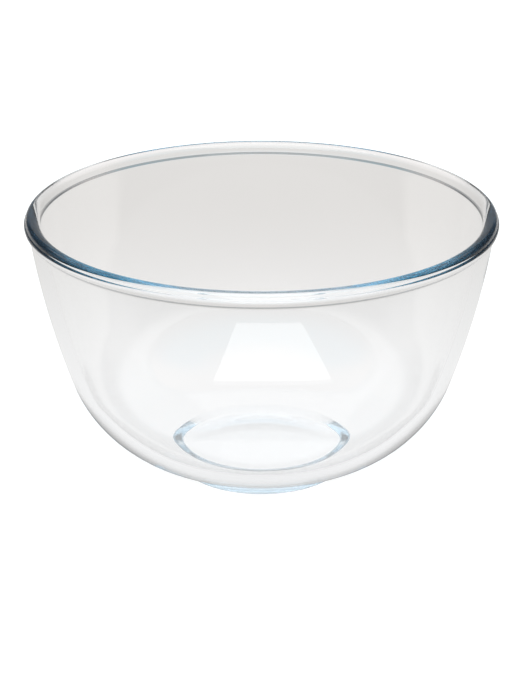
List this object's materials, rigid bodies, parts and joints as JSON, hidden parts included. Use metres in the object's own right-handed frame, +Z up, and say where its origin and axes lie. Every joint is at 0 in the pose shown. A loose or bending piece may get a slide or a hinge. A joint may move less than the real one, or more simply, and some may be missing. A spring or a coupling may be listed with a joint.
{
  "type": "mixing bowl",
  "caption": "Round clear glass mixing bowl with a rolled rim bead, a deep tapering wall, a rounded heel and a low standing foot, for mixing and holding food.",
  "frame": {"origin": "on the bowl's axis, at the level that the foot stands on", "axes": "+Z up along the bowl's axis of revolution, out of its mouth"},
  "size_m": [0.21, 0.21, 0.122],
  "materials": {
    "glass": "clear polished pressed glass, faintly blue where it is seen edge on"
  },
  "bodies": {
    "root": {"rim_bead": "glass", "side_wall": "glass", "heel": "glass", "base_floor": "glass", "foot_ring": "glass"}
  },
  "joints": []
}
